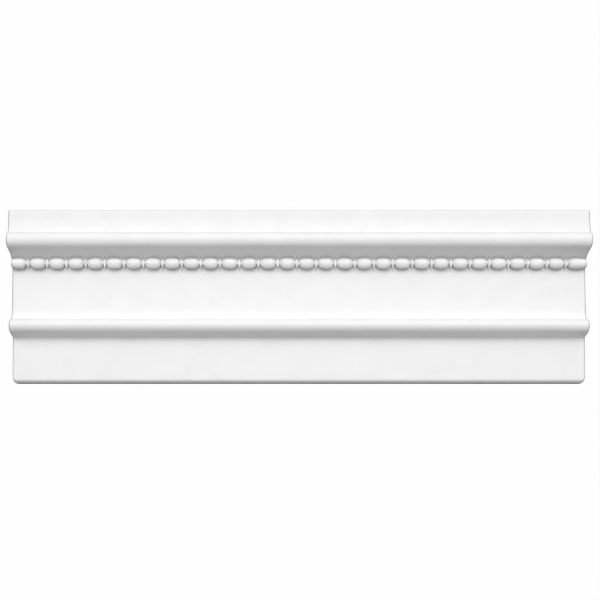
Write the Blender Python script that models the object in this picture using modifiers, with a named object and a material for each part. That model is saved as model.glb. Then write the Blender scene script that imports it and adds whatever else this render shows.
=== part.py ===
"""One length of beaded head trim moulding, cast in one piece, for the head of a window or door.

Units are metres, with +Z up. The length runs along X, the wall is the plane Y = 0 and the face looks
towards -Y. The origin is the middle of the back. Profile sizes are given as (out, z): out is the
distance in front of the wall, z the height from the middle of the moulding.
"""

import math

import bmesh
import bpy

LENGTH = 0.6096
HEIGHT = 0.18415
END_EDGE = 0.0016
LOWER_CORNER_RADIUS = 0.0050

TOP_EDGE_RADIUS = 0.0040
BAND_OUT = 0.0330
BAND_SWEEP_RADIUS = 0.0830
BAND_FOOT_Z = 0.0694

NOSE_OUT = 0.0424
NOSE_RADIUS = 0.0100
NOSE_Z = 0.0612
NOSE_TOP_DEGREES = 47
NOSE_SLOPE_DEGREES = 62
NOSE_SLOPE_LENGTH = 0.0090

COVE_RADIUS = 0.0247
COVE_END_DEGREES = 38
SEAT_OUT = 0.0182

FRIEZE_OUT = 0.0181
FRIEZE_TOP_Z = 0.0284
FRIEZE_SWEEP_RADIUS = 0.6200
FRIEZE_TOP_DEGREES = 0.7
FRIEZE_FOOT_DEGREES = 4.5
FLARE_RADIUS = 0.0215
FLARE_DEGREES = 30

TORUS_OUT = 0.0322
TORUS_UPPER_RADIUS = 0.0058
TORUS_LOWER_RADIUS = 0.0100
TORUS_Z = -0.0280
TORUS_TOP_DEGREES = 118
TORUS_SLOPE_DEGREES = 61.5
TORUS_FOOT_RADIUS = 0.0008

FASCIA_TOP_OUT = 0.0167
FASCIA_FOOT_OUT = 0.0177
BOTTOM_EDGE_HEIGHT = 0.0062
BOTTOM_EDGE_DEPTH = 0.0088

BEADS = 30
BEAD_PITCH = LENGTH / BEADS
BEAD_ROW_SHIFT = -0.0021
STRAND_OUT = 0.0205
STRAND_Z = 0.0365
STRAND_SIDES = 16
BEAD_RADIUS = 0.0059
BEAD_END_RADIUS = 0.0031
BEAD_HALF_LENGTH = 0.0080
BEAD_FULLNESS = 3.1
BEAD_RINGS = (-1.0, -0.93, -0.75, -0.4, 0.4, 0.75, 0.93, 1.0)
LEFT_END_REACH = 0.0088
RIGHT_END_REACH = 0.0145
REEL_RADIUS = 0.0049
REEL_HALF_WIDTH = 0.0009
GROOVE_RADIUS = 0.0028
STRAND_END_GAP = 0.0001

WHITE_PRIMER = (0.86, 0.86, 0.85, 1.0)


def clear_scene():
    for old in list(bpy.data.objects):
        bpy.data.objects.remove(old, do_unlink=True)


def make_collection(name):
    group = bpy.data.collections.new(name)
    bpy.context.scene.collection.children.link(group)
    return group


def primer():
    material = bpy.data.materials.new("white_primer")
    material.use_nodes = True
    shader = material.node_tree.nodes["Principled BSDF"]
    shader.inputs["Base Color"].default_value = WHITE_PRIMER
    shader.inputs["Roughness"].default_value = 0.45
    shader.inputs["Metallic"].default_value = 0.0
    return material


def arc(centre, radius, start, end, steps):
    """Points of an arc in the profile, angles in degrees from straight out, turning up."""
    points = []
    for step in range(steps + 1):
        angle = math.radians(start + (end - start) * step / steps)
        points.append((centre[0] + radius * math.cos(angle), centre[1] + radius * math.sin(angle)))
    return points


def arc_from(point, radius, start, end, steps):
    """The same, with the centre placed so that the arc starts at the point."""
    angle = math.radians(start)
    centre = (point[0] - radius * math.cos(angle), point[1] - radius * math.sin(angle))
    return arc(centre, radius, start, end, steps)


def slope_down(point, degrees, length):
    """The end of a straight run that goes back and down, its face turned down by so many degrees."""
    angle = math.radians(degrees)
    return (point[0] - length * math.sin(angle), point[1] - length * math.cos(angle))


def band():
    """Top edge, then the flat band that sweeps out to its foot."""
    top = HEIGHT / 2
    edge_centre = (BAND_OUT - TOP_EDGE_RADIUS, top - TOP_EDGE_RADIUS)
    points = arc(edge_centre, TOP_EDGE_RADIUS, 90, 0, 4)
    drop = points[-1][1] - BAND_FOOT_Z
    tilt = math.degrees(math.asin(drop / BAND_SWEEP_RADIUS))
    points += arc_from(points[-1], BAND_SWEEP_RADIUS, 180, 180 + tilt, 4)[1:]
    return points


def nose_and_cove():
    """The rounded nose, the slope under it and the cove that runs down into the bead row."""
    centre = (NOSE_OUT - NOSE_RADIUS, NOSE_Z)
    points = arc(centre, NOSE_RADIUS, NOSE_TOP_DEGREES, 0, 4)
    points += arc(centre, NOSE_RADIUS, 0, -NOSE_SLOPE_DEGREES, 5)[1:]
    points.append(slope_down(points[-1], NOSE_SLOPE_DEGREES, NOSE_SLOPE_LENGTH))
    cove = arc_from(points[-1], COVE_RADIUS, 180 - NOSE_SLOPE_DEGREES, 180 - COVE_END_DEGREES, 5)
    points += cove[1:]
    points.append((points[-1][0], STRAND_Z))
    points.append((SEAT_OUT, STRAND_Z))
    return points


def frieze():
    """The plain frieze, leaning out a little, and the flare at its foot."""
    start = 180 + FRIEZE_TOP_DEGREES
    turn = 180 + FRIEZE_FOOT_DEGREES
    points = arc_from((FRIEZE_OUT, FRIEZE_TOP_Z), FRIEZE_SWEEP_RADIUS, start, turn, 3)
    points += arc_from(points[-1], FLARE_RADIUS, turn, 180 + FLARE_DEGREES, 3)[1:]
    return points


def torus():
    """The round torus, its sloping underside and the small cove where that meets the fascia."""
    upper = (TORUS_OUT - TORUS_UPPER_RADIUS, TORUS_Z)
    lower = (TORUS_OUT - TORUS_LOWER_RADIUS, TORUS_Z)
    points = arc(upper, TORUS_UPPER_RADIUS, TORUS_TOP_DEGREES, 0, 7)
    points += arc(lower, TORUS_LOWER_RADIUS, 0, -TORUS_SLOPE_DEGREES, 5)[1:]
    slope = math.radians(TORUS_SLOPE_DEGREES)
    foot_out = FASCIA_TOP_OUT + TORUS_FOOT_RADIUS
    run = (points[-1][0] + TORUS_FOOT_RADIUS * math.cos(slope) - foot_out) / math.sin(slope)
    points.append(slope_down(points[-1], TORUS_SLOPE_DEGREES, run))
    points += arc_from(points[-1], TORUS_FOOT_RADIUS, 180 - TORUS_SLOPE_DEGREES, 180, 3)[1:]
    return points


def bottom():
    """The foot of the fascia and the bottom edge, rounded deeper than it is high."""
    points = []
    for out, rise in arc((0.0, 0.0), 1.0, 0, -90, 5):
        back = BOTTOM_EDGE_DEPTH * (1.0 - out)
        points.append((FASCIA_FOOT_OUT - back, BOTTOM_EDGE_HEIGHT * (1.0 + rise) - HEIGHT / 2))
    return points


def profile():
    """The whole section, from the top at the wall, down the face and back to the wall."""
    return (
        [(0.0, HEIGHT / 2)]
        + band()
        + nose_and_cove()
        + frieze()
        + torus()
        + bottom()
        + [(0.0, -HEIGHT / 2)]
    )


def outline_curve(name, points, half_thickness, edge=0.0):
    """A flat outline as a filled 2D curve, its two rims rounded inwards by the edge size."""
    curve = bpy.data.curves.new(name, "CURVE")
    curve.dimensions = "2D"
    curve.fill_mode = "BOTH"
    curve.extrude = half_thickness - edge
    curve.bevel_depth = edge
    curve.bevel_resolution = 1
    curve.offset = -edge
    spline = curve.splines.new("POLY")
    spline.points.add(len(points) - 1)
    for point, place in zip(spline.points, points):
        point.co = (place[0], place[1], 0.0, 1.0)
    spline.use_cyclic_u = True
    return bpy.data.objects.new(name, curve)


def solid_from(curve_object, name, group, material):
    """The curve's filled shape as a closed mesh object in its place."""
    group.objects.link(curve_object)
    bpy.context.view_layer.update()
    graph = bpy.context.evaluated_depsgraph_get()
    mesh = bpy.data.meshes.new_from_object(curve_object.evaluated_get(graph))
    shape = bmesh.new()
    shape.from_mesh(mesh)
    bmesh.ops.remove_doubles(shape, verts=shape.verts, dist=0.00001)
    bmesh.ops.recalc_face_normals(shape, faces=shape.faces)
    shape.to_mesh(mesh)
    shape.free()
    solid = bpy.data.objects.new(name, mesh)
    solid.matrix_world = curve_object.matrix_world
    mesh.materials.clear()
    mesh.materials.append(material)
    group.objects.link(solid)
    bpy.data.objects.remove(curve_object, do_unlink=True)
    return solid


def bead_radius(share):
    """Radius of a bead at a share of its half length: a barrel with full, blunt ends."""
    round_part = (1.0 - abs(share) ** BEAD_FULLNESS) ** (1.0 / BEAD_FULLNESS)
    return max(BEAD_RADIUS * round_part, BEAD_END_RADIUS)


def strand_profile():
    """The beads and reels as (along, radius), from the left end of the moulding to the right."""
    end = LENGTH / 2 - STRAND_END_GAP
    groove = (REEL_HALF_WIDTH + BEAD_PITCH / 2 - BEAD_HALF_LENGTH) / 2
    first = BEAD_ROW_SHIFT + (0.5 - BEADS / 2) * BEAD_PITCH
    last = BEAD_ROW_SHIFT + (BEADS / 2 - 0.5) * BEAD_PITCH
    # The outer halves of the first and last beads run out to the cut ends.
    points = [(-end, 0.0), (-end, bead_radius((first + end) / LEFT_END_REACH))]
    for bead in range(BEADS):
        middle = first + bead * BEAD_PITCH
        for share in BEAD_RINGS:
            half = BEAD_HALF_LENGTH
            if bead == 0 and share < 0:
                half = LEFT_END_REACH
            if bead == BEADS - 1 and share > 0:
                half = RIGHT_END_REACH
            if abs(middle + share * half) < end:
                points.append((middle + share * half, bead_radius(share)))
        if bead < BEADS - 1:
            reel = middle + BEAD_PITCH / 2
            points.append((reel - groove, GROOVE_RADIUS))
            points.append((reel - REEL_HALF_WIDTH, REEL_RADIUS))
            points.append((reel + REEL_HALF_WIDTH, REEL_RADIUS))
            points.append((reel + groove, GROOVE_RADIUS))
    points += [(end, bead_radius((end - last) / RIGHT_END_REACH)), (end, 0.0)]
    return points


def strand_solid(group, material):
    """The turned strand, made standing up and then laid along the moulding."""
    points = strand_profile()
    mesh = bpy.data.meshes.new("bead_strand")
    places = [(radius, 0.0, -along) for along, radius in points]
    mesh.from_pydata(places, [(i, i + 1) for i in range(len(places) - 1)], [])
    mesh.materials.append(material)
    strand = bpy.data.objects.new("bead_strand", mesh)
    group.objects.link(strand)
    turn = strand.modifiers.new("turn", "SCREW")
    turn.axis = "Z"
    turn.steps = STRAND_SIDES
    turn.render_steps = STRAND_SIDES
    turn.use_merge_vertices = True
    turn.merge_threshold = 0.00001
    strand.rotation_euler = (0.0, math.radians(90), 0.0)
    strand.location = (0.0, -STRAND_OUT, STRAND_Z)
    return strand


def corner_cutter(group, material):
    """What rounds off the lower corners seen from the front: the right one, and its mirror image."""
    right = LENGTH / 2
    foot = -HEIGHT / 2
    spare = 0.002
    centre = (right - LOWER_CORNER_RADIUS, foot + LOWER_CORNER_RADIUS)
    points = arc(centre, LOWER_CORNER_RADIUS, -90, 0, 4)
    points += [
        (right + spare, foot + LOWER_CORNER_RADIUS),
        (right + spare, foot - spare),
        (right - LOWER_CORNER_RADIUS, foot - spare),
    ]
    flat = outline_curve("lower_corner_outline", points, NOSE_OUT)
    flat.rotation_euler = (math.radians(90), 0.0, 0.0)
    cutter = solid_from(flat, "lower_corner_cutter", group, material)
    middle = cutter.modifiers.new("other_end", "MIRROR")
    middle.use_axis = (True, False, False)
    middle.merge_threshold = 0.00001
    return cutter


def boolean(target, other, operation):
    modifier = target.modifiers.new(other.name, "BOOLEAN")
    modifier.operation = operation
    modifier.solver = "EXACT"
    modifier.object = other
    other.hide_render = True
    other.display_type = "WIRE"


def head_trim(group, helpers, material):
    """The section run along the length, joined to the strand and rounded at its lower corners."""
    flat = outline_curve("section_outline", profile(), LENGTH / 2, END_EDGE)
    # The curve's own X points away from the wall, its own Y up and its own Z along the length.
    flat.rotation_euler = (math.radians(90), 0.0, math.radians(-90))
    moulding = solid_from(flat, "head_trim_moulding", group, material)
    boolean(moulding, strand_solid(helpers, material), "UNION")
    boolean(moulding, corner_cutter(helpers, material), "DIFFERENCE")
    moulding.data.shade_smooth()
    moulding.data.set_sharp_from_angle(angle=math.radians(35))
    return moulding


def main():
    clear_scene()
    parts = make_collection("beaded_head_trim_moulding")
    helpers = make_collection("cutters_and_guides")
    head_trim(parts, helpers, primer())


main()
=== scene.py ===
# The looks of a length of white beaded head trim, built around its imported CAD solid.
# Metres, +Z up. The length runs along X, the wall is the plane Y = 0 and the face looks to -Y.
# A section is a list of (out, z): out from the wall, and up from the middle of the height.
import math
import random

import bpy
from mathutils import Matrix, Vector


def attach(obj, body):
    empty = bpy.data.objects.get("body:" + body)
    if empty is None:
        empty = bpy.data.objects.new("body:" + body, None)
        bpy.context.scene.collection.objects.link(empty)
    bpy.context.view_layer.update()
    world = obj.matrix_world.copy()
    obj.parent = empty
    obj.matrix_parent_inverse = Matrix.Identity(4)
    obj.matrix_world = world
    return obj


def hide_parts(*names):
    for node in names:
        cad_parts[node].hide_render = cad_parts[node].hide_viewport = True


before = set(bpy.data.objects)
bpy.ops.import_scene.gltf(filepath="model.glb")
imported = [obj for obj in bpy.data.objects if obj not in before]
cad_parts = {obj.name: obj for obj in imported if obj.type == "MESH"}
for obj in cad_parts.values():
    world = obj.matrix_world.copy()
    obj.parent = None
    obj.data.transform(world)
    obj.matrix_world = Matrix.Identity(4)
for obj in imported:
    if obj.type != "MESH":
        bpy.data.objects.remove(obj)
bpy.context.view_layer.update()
print("stage 1: CAD frame loaded,", sorted(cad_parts))


# The moulding's section, member by member from the top edge down. Angles are in degrees, from
# straight out, turning up.
trim = {
    "length": 0.6096,
    "height": 0.18415,
    "endEdge": 0.0016,          # rounding all round the cut ends
    "lowerCorner": 0.0050,      # rounding of the two lower corners, seen from the front
    "topEdge": 0.0028,
    "bandOut": 0.0330,
    "bandSweep": 0.0830,        # radius of the hollow that carries the band out to its foot
    "bandFoot": 0.0686,
    "noseOut": 0.0424,
    "nose": 0.0100,
    "noseHeight": 0.0612,
    "noseTop": 41,
    "noseSlope": 62,
    "noseSlopeLength": 0.0090,
    "cove": 0.0247,
    "coveEnd": 38,
    "seatOut": 0.0182,          # the frieze's face where it goes in behind the beads
    "friezeOut": 0.0181,
    "friezeTop": 0.0284,
    "friezeSweep": 0.6200,
    "friezeLeanTop": 0.7,
    "friezeLeanFoot": 4.5,
    "flare": 0.0215,
    "flareEnd": 30,
    "torusOut": 0.0322,
    "torusUpper": 0.0058,       # the torus is tighter above its foremost line than below it
    "torusLower": 0.0100,
    "torusHeight": -0.0280,
    "torusTop": 118,
    "torusSlope": 61.5,
    "torusFoot": 0.0008,
    "fasciaTopOut": 0.0167,
    "fasciaFootOut": 0.0177,
    "bottomEdge": 0.0062,       # rounding of the bottom edge: its height, then its depth
    "bottomEdgeDepth": 0.0088,
    "creaseReach": 0.0005,      # how far primer softens an inner crease to each side
}

# The turned row of beads and reels that sits in the moulding.
strand = {
    "beads": 30,
    "out": 0.0205,
    "height": 0.0365,
    "beadRadius": 0.0059,
    "beadHalfLength": 0.0083,
    "beadFullness": 2.6,        # 2 is an oval, more is a barrel with blunt ends
    "leftReach": 0.0088,        # half length of the first bead's outer half, cut off at the end
    "rightReach": 0.0145,       # and of the last bead's
    "rowShift": -0.0021,        # the row stands a little left of the middle
    "reelRadius": 0.0048,
    "reelHalfWidth": 0.0012,
    "reelFullness": 4,
    "grooveRadius": 0.0026,
    "unevenRadius": 0.00005,    # how much one bead differs from the next
    "unevenPlace": 0.00012,
    "seed": 11,
}
beadPitch = trim["length"] / strand["beads"]
strandCentre = Vector((strand["out"], strand["height"]))

# How finely the mesh is cut up: steps round the section, then sections along the length.
fineness = {
    "topEdge": 8,
    "band": 9,
    "noseUpper": 8,
    "noseLower": 10,
    "softCrease": 4,
    "coveLine": 48,             # steps of the lines that the cove and frieze are taken from
    "friezeLine": 24,
    "cove": 9,
    "strand": 26,               # round the part of the strand that shows
    "frieze": 10,
    "friezeCrowding": 1.6,      # over 1 brings the frieze's points closer to the beads
    "flare": 6,
    "torusUpper": 11,
    "torusLower": 9,
    "torusFoot": 5,
    "fascia": (0.012, 0.08, 0.988),  # shares of its height
    "bottom": 9,
    "back": (-0.03, 0.03),      # heights of the points up the back
    "beadStations": 7,          # sections from a bead's middle to its end
    "reelStations": 3,
    "endStations": 7,
    "cornerStations": 10,
    "closest": 0.00002,         # least distance between two sections
    "sharpFrom": 32,            # degrees
}


def onCircle(centre, radius, degrees):
    angle = math.radians(degrees)
    return Vector((centre[0] + radius * math.cos(angle), centre[1] + radius * math.sin(angle)))


def arc(centre, radius, start, end, steps):
    return [onCircle(centre, radius, start + (end - start) * i / steps) for i in range(steps + 1)]


def arcFrom(point, radius, start, end, steps):
    # the same, with the centre placed so that the arc starts at the point
    away = onCircle((0, 0), radius, start)
    return arc((point[0] - away[0], point[1] - away[1]), radius, start, end, steps)


def slopeDown(point, degrees, length):
    angle = math.radians(degrees)
    return Vector((point[0] - length * math.sin(angle), point[1] - length * math.cos(angle)))


def alongLine(points, distance):
    # the point at a distance along a run of points
    for start, end in zip(points, points[1:]):
        length = (end - start).length
        if distance <= length:
            return start.lerp(end, distance / length)
        distance -= length
    return points[-1].copy()


def lineLength(points):
    return sum((end - start).length for start, end in zip(points, points[1:]))


def joinSoftly(above, below):
    # two runs that meet in a crease, with a small round in place of the crease
    reach = trim["creaseReach"]
    cleared = reach * 1.15      # points closer to the crease than this are dropped
    steps = fineness["softCrease"]
    corner = above[-1]
    start = alongLine(above[::-1], reach)
    end = alongLine(below, reach)
    kept = [p for p in above if (p - corner).length > cleared]
    left = [p for p in below if (p - corner).length > cleared]
    turn = []
    for i in range(steps + 1):
        t = i / steps
        turn.append(start * (1 - t) ** 2 + corner * 2 * t * (1 - t) + end * t ** 2)
    return kept + turn + left


def bandAndNose():
    # top edge, the band that sweeps out, the round nose and the slope under it
    top = trim["height"] / 2
    edge = trim["topEdge"]
    band = arc((trim["bandOut"] - edge, top - edge), edge, 90, 0, fineness["topEdge"])
    drop = band[-1][1] - trim["bandFoot"]
    tilt = math.degrees(math.asin(drop / trim["bandSweep"]))
    band += arcFrom(band[-1], trim["bandSweep"], 180, 180 + tilt, fineness["band"])[1:]
    noseCentre = (trim["noseOut"] - trim["nose"], trim["noseHeight"])
    nose = arc(noseCentre, trim["nose"], trim["noseTop"], 0, fineness["noseUpper"])
    nose += arc(noseCentre, trim["nose"], 0, -trim["noseSlope"], fineness["noseLower"])[1:]
    nose.append(slopeDown(nose[-1], trim["noseSlope"], trim["noseSlopeLength"]))
    return joinSoftly(band + nose[:1], nose)


def coveRun(start):
    # from the foot of the slope into the bead row, then straight down behind the beads
    points = arcFrom(start, trim["cove"], 180 - trim["noseSlope"], 180 - trim["coveEnd"],
                     fineness["coveLine"])
    return points + [Vector((points[-1][0], strand["height"]))]


def friezeRun():
    # from behind the beads down to the height where the sections stop differing
    points = [Vector((trim["seatOut"], strand["height"]))]
    points += arcFrom((trim["friezeOut"], trim["friezeTop"]), trim["friezeSweep"],
                      180 + trim["friezeLeanTop"], 180 + trim["friezeLeanFoot"],
                      fineness["friezeLine"])
    return points


def flareAndTorus(start):
    # the flare at the foot of the frieze, the torus, its slope and the small cove under it
    flare = arcFrom(start, trim["flare"], 180 + trim["friezeLeanFoot"], 180 + trim["flareEnd"],
                    fineness["flare"])
    upper = trim["torusUpper"]
    lower = trim["torusLower"]
    torus = arc((trim["torusOut"] - upper, trim["torusHeight"]), upper, trim["torusTop"], 0,
                fineness["torusUpper"])
    torus += arc((trim["torusOut"] - lower, trim["torusHeight"]), lower, 0, -trim["torusSlope"],
                 fineness["torusLower"])[1:]
    slope = math.radians(trim["torusSlope"])
    foot = trim["torusFoot"]
    run = (torus[-1][0] + foot * math.cos(slope) - trim["fasciaTopOut"] - foot) / math.sin(slope)
    torus.append(slopeDown(torus[-1], trim["torusSlope"], run))
    torus += arcFrom(torus[-1], foot, 180 - trim["torusSlope"], 180, fineness["torusFoot"])[1:]
    return joinSoftly(flare + torus[:1], torus)


def strandMeets(points, radius, entering):
    # the distance along the run at which it goes into the strand, or comes out of it
    low = 0.0
    high = lineLength(points)
    for _ in range(40):         # halvings, far finer than the mesh
        middle = (low + high) / 2
        inside = (alongLine(points, middle) - strandCentre).length < radius
        if inside == entering:
            high = middle
        else:
            low = middle
    return (low + high) / 2


# What differs from bead to bead, as in a casting from a hand-finished master.
chance = random.Random(strand["seed"])
beadSwell = [chance.uniform(-1, 1) * strand["unevenRadius"] for _ in range(strand["beads"])]
beadShift = [chance.uniform(-1, 1) * strand["unevenPlace"] for _ in range(strand["beads"])]
beadShift[0] = beadShift[-1] = 0.0


def beadMiddle(bead):
    return strand["rowShift"] + (bead + 0.5 - strand["beads"] / 2) * beadPitch + beadShift[bead]


def beadHalf(bead, side):
    # half length of a bead to its left (side -1) or right (side 1)
    if bead == 0 and side < 0:
        return strand["leftReach"]
    if bead == strand["beads"] - 1 and side > 0:
        return strand["rightReach"]
    return strand["beadHalfLength"]


def reelMiddle(reel):
    return (beadMiddle(reel) + beadMiddle(reel + 1)) / 2


def strandRadius(x):
    groove = strand["grooveRadius"]
    fullness = strand["beadFullness"]
    bead = min(max(int((x + trim["length"] / 2) / beadPitch), 0), strand["beads"] - 1)
    for near in (bead - 1, bead, bead + 1):
        if 0 <= near < strand["beads"]:
            away = x - beadMiddle(near)
            share = abs(away) / beadHalf(near, 1 if away > 0 else -1)
            if share < 1:
                full = strand["beadRadius"] + beadSwell[near]
                return max(full * (1 - share ** fullness) ** (1 / fullness), groove)
    for near in (bead - 1, bead, bead + 1):
        if 0 <= near < strand["beads"] - 1:
            share = abs(x - reelMiddle(near)) / strand["reelHalfWidth"]
            if share < 1:
                fullWidth = math.sqrt(1 - share ** strand["reelFullness"])
                return groove + (strand["reelRadius"] - groove) * fullWidth
    return groove


def stations():
    # where along X the sections stand: close where a bead, reel, end or corner curves fast
    places = []
    steps = fineness["beadStations"]
    for bead in range(strand["beads"]):
        for i in range(steps + 1):
            share = math.sin(math.pi / 2 * i / steps) ** (2 / strand["beadFullness"])
            places += [beadMiddle(bead) + side * share * beadHalf(bead, side) for side in (-1, 1)]
    steps = fineness["reelStations"]
    for reel in range(strand["beads"] - 1):
        for i in range(-steps, steps + 1):
            share = math.sin(math.pi / 2 * i / steps)
            places.append(reelMiddle(reel) + strand["reelHalfWidth"] * share)
    for rounding, steps in ((trim["endEdge"], fineness["endStations"]),
                            (trim["lowerCorner"], fineness["cornerStations"])):
        for i in range(steps + 1):
            inwards = rounding * (1 - math.cos(math.pi / 2 * i / steps))
            places += [trim["length"] / 2 - inwards, inwards - trim["length"] / 2]
    places = sorted(x for x in places if abs(x) <= trim["length"] / 2)
    kept = places[:1]
    for place in places[1:]:
        if place - kept[-1] > fineness["closest"]:
            kept.append(place)
    return kept


def quarterRise(size, inwards):
    # how far a quarter round has still to go, at a distance in from where it starts
    if inwards >= size:
        return 0.0
    return size - math.sqrt(size ** 2 - (size - inwards) ** 2)


upperRun = bandAndNose()
coveLine = coveRun(upperRun[-1])
friezeLine = friezeRun()
lowerRun = flareAndTorus(friezeLine[-1])
longCreases = [
    (onCircle((trim["noseOut"] - trim["nose"], trim["noseHeight"]), trim["nose"],
              trim["noseTop"]), "noseCreaseShade"),
    (onCircle((trim["torusOut"] - trim["torusUpper"], trim["torusHeight"]), trim["torusUpper"],
              trim["torusTop"]), "torusCreaseShade"),
]


def section(x):
    # all points of the section at x, once round; the lowest ones rise at the lower corners
    inwards = trim["length"] / 2 - abs(x)
    radius = strandRadius(x)
    points = [Vector((0.0, trim["height"] / 2)), Vector((trim["bandOut"] / 2, trim["height"] / 2))]
    points += upperRun
    meets = strandMeets(coveLine, radius, True)
    steps = fineness["cove"]
    points += [alongLine(coveLine, meets * i / steps) for i in range(1, steps + 1)]
    start = points[-1] - strandCentre
    leaves = strandMeets(friezeLine, radius, False)
    end = alongLine(friezeLine, leaves) - strandCentre
    startAngle = math.degrees(math.atan2(start[1], start[0]))
    endAngle = math.degrees(math.atan2(end[1], end[0]))
    points += arc(strandCentre, radius, startAngle, endAngle, fineness["strand"])[1:]
    left = lineLength(friezeLine) - leaves
    for i in range(1, fineness["frieze"] + 1):
        share = (i / fineness["frieze"]) ** fineness["friezeCrowding"]
        points.append(alongLine(friezeLine, leaves + left * share))
    points += lowerRun[1:]
    foot = -trim["height"] / 2
    edge = trim["bottomEdge"]
    rise = quarterRise(trim["lowerCorner"], inwards)
    fasciaFoot = Vector((trim["fasciaFootOut"], foot + edge + rise))
    fasciaTop = points[-1].copy()
    points += [fasciaTop.lerp(fasciaFoot, share) for share in fineness["fascia"]]
    firstRising = len(points)
    for turn in arc((0, 0), 1, 0, -90, fineness["bottom"]):
        out = trim["fasciaFootOut"] + trim["bottomEdgeDepth"] * (turn[0] - 1)
        points.append(Vector((out, foot + rise + edge * (turn[1] + 1))))
    points += [Vector((trim["fasciaFootOut"] / 3, foot + rise)), Vector((0.0, foot + rise))]
    lastRising = len(points)
    points += [Vector((0.0, z)) for z in fineness["back"]]
    inset = quarterRise(trim["endEdge"], inwards)
    if inset > 0:
        points = insetPoints(points, inset, firstRising, lastRising)
    return points


def insetPoints(points, inset, firstRising, lastRising):
    # every point moved into the section, square to the outline; the risen ones only in depth
    moved = []
    count = len(points)
    for i, point in enumerate(points):
        before = (point - points[i - 1]).normalized()
        after = (points[(i + 1) % count] - point).normalized()
        normalBefore = Vector((before[1], -before[0]))
        normalAfter = Vector((after[1], -after[0]))
        inwardsWay = (normalBefore + normalAfter).normalized()
        spread = max(inwardsWay.dot(normalAfter), 0.4)  # keeps sharp corners from running away
        shift = inwardsWay * (inset / spread)
        if firstRising <= i < lastRising:
            shift = Vector((shift[0], 0.0))
        moved.append(point + shift)
    return moved


# Factory primer on the casting: satin, a little uneven, with a fine orange peel. Its tone follows a
# value along the section that paints light and shade into the colour: 1 for a painted highlight on
# the crowns of the beads, -1 for painted shade in the deepest creases.
primerAndPaintedShading = {
    "colour": (0.781, 0.779, 0.778),
    # painted highlight colour for the bead crowns and reels, then painted shade colour for the
    # creases and grooves
    "paintedHighlight": (0.911, 0.909, 0.908),
    "crease": (0.465, 0.463, 0.461),
    "coveShade": (-0.07, -0.14, -0.23, -0.46, -0.72, -1.0, -0.35),  # painted shade on the cove's last points, above the beads
    "friezeShade": (-0.65, -0.14),       # painted shade on the frieze's first points, under the beads
    # painted shade down the lower round of the torus and into its foot, painted light on its slope
    "torusShading": (-0.06, -0.12, -0.14, -0.14, -0.12, -0.08, 0.0, 0.1, 0.2, 0.45, -0.6),
    "fasciaShade": -0.24,                 # painted shade just under the torus
    "bottomShade": -0.2,                  # painted shade along the rounding of the bottom edge
    "noseCreaseShade": 0.17,                  # depth of the painted shade along the long creases over the nose and the torus
    "torusCreaseShade": 0.32,
    "creaseReach": 0.0016,
    "grooveShade": 1.5,                  # painted shade: how much greyer the grooves get towards their feet
    "grooveStarts": 0.3,
    "grooveReach": 0.6,                  # share of the reels' height up to which a groove gets painted shade
    "crownEnds": 0.41,                   # shares of the way round the strand, from top to foot, for the painted highlight and the painted shade
    "crownRise": 0.7,                    # under 1 moves the painted highlight up the bead
    "underStarts": 0.62,
    "underReach": 0.30,
    "lipShade": 0.76,                    # painted shade: how much greyer the lips of the cut ends are
    "lipPlace": 0.5,                     # where they are greyest, in end edges from the end
    "lipReach": 0.9,
    "mottled": 0.975,                    # the darker tone of the mottle, and the noise it spans
    "mottleFrom": 0.35,
    "mottleTo": 0.60,
    "mottleScale": 45.0,
    "mottleDetail": 3.0,
    "glossiest": 0.38,
    "dullest": 0.52,
    "glossFrom": 0.3,
    "glossTo": 0.7,
    "glossScale": 103.5,
    "specular": 0.4,
    "peelScale": 900.0,
    "peelDepth": 0.000005,
    "waveScale": 120.0,
    "waveDepth": 0.000008,
    "fineDetail": 2.0,                   # detail of the gloss, wave and peel noises
}


def strandShading(x):
    # the painted light and shade at each point round the bead, groove or reel at x, from its top to
    # its foot: a painted highlight on the crowns and reels, painted shade under the beads and down
    # the grooves
    groove = strand["grooveRadius"]
    height = (strandRadius(x) - groove) / (strand["reelRadius"] - groove)
    deep = max(1 - height / primerAndPaintedShading["grooveReach"], 0.0)
    reel = min(max(round(x / beadPitch + strand["beads"] / 2 - 1), 0), strand["beads"] - 2)
    if abs(x - reelMiddle(reel)) <= strand["reelHalfWidth"]:
        return [1.0 - deep] * fineness["strand"]
    tones = []
    for i in range(1, fineness["strand"] + 1):
        share = i / fineness["strand"]
        paintedHighlight = math.sin(math.pi * min(share / primerAndPaintedShading["crownEnds"], 1.0) ** primerAndPaintedShading["crownRise"])
        under = min(max((share - primerAndPaintedShading["underStarts"]) / primerAndPaintedShading["underReach"], 0.0), 1.0)
        shade = primerAndPaintedShading["grooveShade"] * deep * (share + primerAndPaintedShading["grooveStarts"])
        tones.append(paintedHighlight - under - shade)
    return tones


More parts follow.
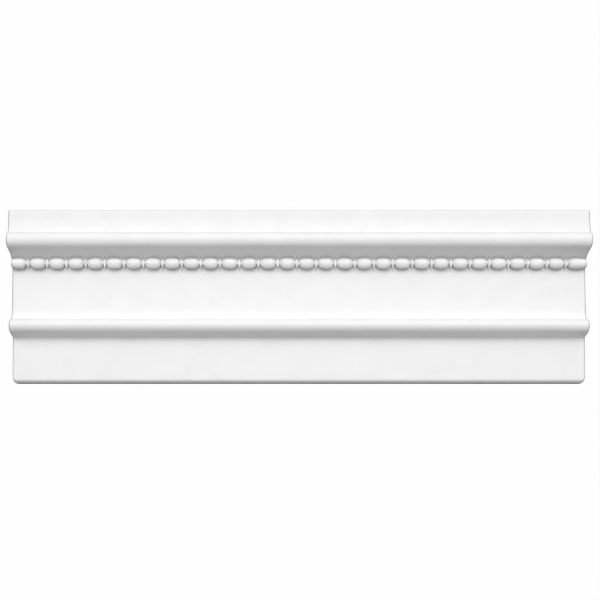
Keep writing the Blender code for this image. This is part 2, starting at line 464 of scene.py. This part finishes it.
def paintedShading(x, points):
    # the painted light and shade at each point of the section at x
    # painted shade on the lips of the cut ends
    inwards = trim["length"] / 2 - abs(x)
    fromLip = abs(inwards / trim["endEdge"] - primerAndPaintedShading["lipPlace"])
    lip = max(1 - fromLip / primerAndPaintedShading["lipReach"], 0.0) * primerAndPaintedShading["lipShade"]
    depth = []
    # painted shade along the long creases over the nose and the torus
    for point in points:
        near = [primerAndPaintedShading[name] * max(1 - (point - crease).length / primerAndPaintedShading["creaseReach"], 0.0)
                for crease, name in longCreases]
        depth.append(-max(near))
    # the two points of the top stand before the upper run
    coveEnd = 2 + len(upperRun) + fineness["cove"]
    strandEnd = coveEnd + fineness["strand"]
    # after the bottom edge come two points of the underside, and then the back
    bottom = len(points) - len(fineness["back"]) - 2 - (fineness["bottom"] + 1)
    fascia = bottom - len(fineness["fascia"])
    slopeEnd = fascia - fineness["torusFoot"] + 1
    # painted shade at the cove's foot, under the beads, round the torus, under it and along the
    # bottom edge; painted light on the beads and the torus slope
    runs = [
        (coveEnd - len(primerAndPaintedShading["coveShade"]), primerAndPaintedShading["coveShade"]),
        (coveEnd, strandShading(x)),
        (strandEnd, primerAndPaintedShading["friezeShade"]),
        (slopeEnd - len(primerAndPaintedShading["torusShading"]), primerAndPaintedShading["torusShading"]),
        (fascia - 1, (primerAndPaintedShading["fasciaShade"],) * 2),
        (bottom + 2, (primerAndPaintedShading["bottomShade"],) * (fineness["bottom"] - 1)),
    ]
    for first, tones in runs:
        depth[first:first + len(tones)] = tones
    return [max(value - lip, -1.0) for value in depth]


def trimMesh():
    places = stations()
    rows = [section(x) for x in places]
    count = len(rows[0])
    vertices = [(x, -p[0], p[1]) for x, row in zip(places, rows) for p in row]
    faces = []
    for row in range(len(rows) - 1):
        for i in range(count):
            nextOne = (i + 1) % count
            a = row * count + i
            b = row * count + nextOne
            faces.append((a, b, b + count, a + count))
    faces.append(tuple(reversed(range(count))))
    faces.append(tuple(range((len(rows) - 1) * count, len(rows) * count)))
    mesh = bpy.data.meshes.new("beadedHeadTrim")
    mesh.from_pydata(vertices, [], faces)
    mesh.update()
    mesh.shade_smooth()
    mesh.set_sharp_from_angle(angle=math.radians(fineness["sharpFrom"]))
    # the painted light and shade goes to the material as a point attribute
    shadingAttribute = mesh.attributes.new("paintedShading", "FLOAT", "POINT")
    shadingAttribute.data.foreach_set("value", [d for x, row in zip(places, rows) for d in paintedShading(x, row)])
    print("stage 2: moulding lofted,", len(rows), "sections of", count, "points")
    return mesh


def primerWithPaintedShading():
    material = bpy.data.materials.new("whiteSatinPrimerPaintedShading")
    material.use_nodes = True
    tree = material.node_tree
    shader = tree.nodes["Principled BSDF"]
    where = tree.nodes.new("ShaderNodeTexCoord")

    def noise(scale, detail):
        node = tree.nodes.new("ShaderNodeTexNoise")
        node.inputs["Scale"].default_value = scale
        node.inputs["Detail"].default_value = detail
        tree.links.new(where.outputs["Object"], node.inputs["Vector"])
        return node.outputs["Fac"]

    mottle = noise(primerAndPaintedShading["mottleScale"], primerAndPaintedShading["mottleDetail"])
    tint = tree.nodes.new("ShaderNodeValToRGB")
    tint.color_ramp.elements[0].position = primerAndPaintedShading["mottleFrom"]
    tint.color_ramp.elements[0].color = (primerAndPaintedShading["mottled"],) * 3 + (1.0,)
    tint.color_ramp.elements[1].position = primerAndPaintedShading["mottleTo"]
    tree.links.new(mottle, tint.inputs["Fac"])
    # painted light and shade: the colour runs from the painted shade colour through the base colour
    # to the painted highlight colour
    shadingAttribute = tree.nodes.new("ShaderNodeAttribute")
    shadingAttribute.attribute_name = "paintedShading"
    level = tree.nodes.new("ShaderNodeMapRange")
    level.inputs["From Min"].default_value = -1.0
    tree.links.new(shadingAttribute.outputs["Fac"], level.inputs["Value"])
    paintedShadeRamp = tree.nodes.new("ShaderNodeValToRGB")
    paintedShadeRamp.color_ramp.elements[0].color = primerAndPaintedShading["crease"] + (1.0,)
    paintedShadeRamp.color_ramp.elements[1].color = primerAndPaintedShading["paintedHighlight"] + (1.0,)
    paintedShadeRamp.color_ramp.elements.new(0.5).color = primerAndPaintedShading["colour"] + (1.0,)
    tree.links.new(level.outputs["Result"], paintedShadeRamp.inputs["Fac"])
    mix = tree.nodes.new("ShaderNodeMix")
    mix.data_type = "RGBA"
    mix.blend_type = "MULTIPLY"
    mix.inputs["Factor"].default_value = 1.0
    tree.links.new(paintedShadeRamp.outputs["Color"], mix.inputs["A"])
    tree.links.new(tint.outputs["Color"], mix.inputs["B"])
    tree.links.new(mix.outputs["Result"], shader.inputs["Base Color"])
    gloss = tree.nodes.new("ShaderNodeMapRange")
    gloss.inputs["From Min"].default_value = primerAndPaintedShading["glossFrom"]
    gloss.inputs["From Max"].default_value = primerAndPaintedShading["glossTo"]
    gloss.inputs["To Min"].default_value = primerAndPaintedShading["glossiest"]
    gloss.inputs["To Max"].default_value = primerAndPaintedShading["dullest"]
    tree.links.new(noise(primerAndPaintedShading["glossScale"], primerAndPaintedShading["fineDetail"]), gloss.inputs["Value"])
    tree.links.new(gloss.outputs["Result"], shader.inputs["Roughness"])
    below = None
    for scale, depth in (("waveScale", "waveDepth"), ("peelScale", "peelDepth")):
        bump = tree.nodes.new("ShaderNodeBump")
        bump.inputs["Distance"].default_value = primerAndPaintedShading[depth]
        tree.links.new(noise(primerAndPaintedShading[scale], primerAndPaintedShading["fineDetail"]), bump.inputs["Height"])
        if below:
            tree.links.new(below, bump.inputs["Normal"])
        below = bump.outputs["Normal"]
    tree.links.new(below, shader.inputs["Normal"])
    shader.inputs["Specular IOR Level"].default_value = primerAndPaintedShading["specular"]
    return material


headTrim = bpy.data.objects.new("beadedHeadTrim", trimMesh())
headTrim.data.materials.append(primerWithPaintedShading())
bpy.context.scene.collection.objects.link(headTrim)
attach(headTrim, "root")
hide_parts("head_trim_moulding")
print("stage 3: white primer on the moulding")


# The studio: a white ground to the camera, and soft light, mostly from in front and above.
studio = {
    "ground": 0.991,            # what the camera sees all round, as white as the paper
    "room": 0.15,               # light from everywhere
    "floorHeight": -1.00,
    "floorRadius": 6.0,
    "floorSides": 96,
    "floorShadowGrey": 0.80,          # painted shadow: a little greyer straight under the moulding
    "paintedShadowRadius": 0.50,
}

# Soft boxes far away: where each stands, and how many degrees from its middle it is still full
# and has faded out.
softBoxes = {
    "key": {"stands": (0.0, -0.799, 0.602), "full": 4, "faded": 14, "light": 8.66},
    "keyLeft": {"stands": (-0.406, -0.650, 0.643), "full": 8, "faded": 24, "light": 4.10},
    "keyRight": {"stands": (0.406, -0.650, 0.643), "full": 8, "faded": 24, "light": 4.10},
    "front": {"stands": (0.0, -0.9945, 0.1045), "full": 8, "faded": 24, "light": 4.00},
    "fill": {"stands": (0.0, -0.866, -0.500), "full": 8, "faded": 24, "light": 0.69},
    "fillLow": {"stands": (0.0, -0.743, -0.669), "full": 8, "faded": 24, "light": 1.15},
    "behind": {"stands": (0.0, 0.990, 0.139), "full": 10, "faded": 36, "light": 3.90},
}


def studioWorld():
    world = bpy.data.worlds.new("softStudio")
    bpy.context.scene.world = world
    world.use_nodes = True
    tree = world.node_tree
    tree.nodes.clear()
    where = tree.nodes.new("ShaderNodeTexCoord")
    total = None
    for name, box in softBoxes.items():
        facing = tree.nodes.new("ShaderNodeVectorMath")
        facing.operation = "DOT_PRODUCT"
        facing.inputs[1].default_value = Vector(box["stands"]).normalized()
        fade = tree.nodes.new("ShaderNodeMapRange")
        fade.label = name
        fade.interpolation_type = "SMOOTHSTEP"
        fade.inputs["From Min"].default_value = math.cos(math.radians(box["faded"]))
        fade.inputs["From Max"].default_value = math.cos(math.radians(box["full"]))
        fade.inputs["To Max"].default_value = box["light"]
        add = tree.nodes.new("ShaderNodeMath")
        add.inputs[1].default_value = studio["room"]
        tree.links.new(where.outputs["Generated"], facing.inputs[0])
        tree.links.new(facing.outputs["Value"], fade.inputs["Value"])
        tree.links.new(fade.outputs["Result"], add.inputs[0])
        if total:
            tree.links.new(total, add.inputs[1])
        total = add.outputs["Value"]
    light = tree.nodes.new("ShaderNodeBackground")
    tree.links.new(total, light.inputs["Strength"])
    ground = tree.nodes.new("ShaderNodeBackground")
    ground.inputs["Color"].default_value = (studio["ground"],) * 3 + (1.0,)
    path = tree.nodes.new("ShaderNodeLightPath")
    mix = tree.nodes.new("ShaderNodeMixShader")
    output = tree.nodes.new("ShaderNodeOutputWorld")
    tree.links.new(path.outputs["Is Camera Ray"], mix.inputs["Fac"])
    tree.links.new(light.outputs["Background"], mix.inputs[1])
    tree.links.new(ground.outputs["Background"], mix.inputs[2])
    tree.links.new(mix.outputs["Shader"], output.inputs["Surface"])


def studioFloor():
    sides = studio["floorSides"]
    rim = [onCircle((0, 0), studio["floorRadius"], 360 * i / sides) for i in range(sides)]
    mesh = bpy.data.meshes.new("studioFloor")
    mesh.from_pydata([(p[0], p[1], studio["floorHeight"]) for p in rim], [], [tuple(range(sides))])
    floor = bpy.data.objects.new("studioFloor", mesh)
    bpy.context.scene.collection.objects.link(floor)
    material = bpy.data.materials.new("paleFloor")
    material.use_nodes = True
    tree = material.node_tree
    tree.nodes.clear()
    output = tree.nodes.new("ShaderNodeOutputMaterial")
    glow = tree.nodes.new("ShaderNodeEmission")
    where = tree.nodes.new("ShaderNodeTexCoord")
    distance = tree.nodes.new("ShaderNodeVectorMath")
    distance.operation = "LENGTH"
    # a painted shadow: the glowing floor is greyer straight under the moulding
    paintedShadow = tree.nodes.new("ShaderNodeMapRange")
    paintedShadow.interpolation_type = "SMOOTHSTEP"
    paintedShadow.inputs["From Max"].default_value = studio["paintedShadowRadius"]
    paintedShadow.inputs["To Min"].default_value = studio["floorShadowGrey"]
    paintedShadow.inputs["To Max"].default_value = studio["ground"]
    tree.links.new(where.outputs["Object"], distance.inputs[0])
    tree.links.new(distance.outputs["Value"], paintedShadow.inputs["Value"])
    tree.links.new(paintedShadow.outputs["Result"], glow.inputs["Color"])
    tree.links.new(glow.outputs["Emission"], output.inputs["Surface"])
    mesh.materials.append(material)
    floor.visible_diffuse = False
    floor.visible_glossy = False


studioWorld()
studioFloor()
bpy.context.scene.view_settings.view_transform = "Standard"
bpy.context.scene.cycles.filter_width = 1.0  # crisp edges
print("stage 4: studio light and floor")


# Straight in front and a little left of the middle, as the photograph was taken.
camera = {
    "place": (-0.0243, -0.9777, -0.0021),
    "lens": 54.17,
    "sensor": 36.0,
    "shift": 0.04,
}
eye = bpy.data.objects.new("camera", bpy.data.cameras.new("camera"))
eye.data.lens = camera["lens"]
eye.data.sensor_width = camera["sensor"]
eye.data.shift_x = camera["shift"]
eye.location = camera["place"]
eye.rotation_euler = (math.radians(90), 0.0, 0.0)
bpy.context.scene.collection.objects.link(eye)
bpy.context.scene.camera = eye
print("stage 5: camera")
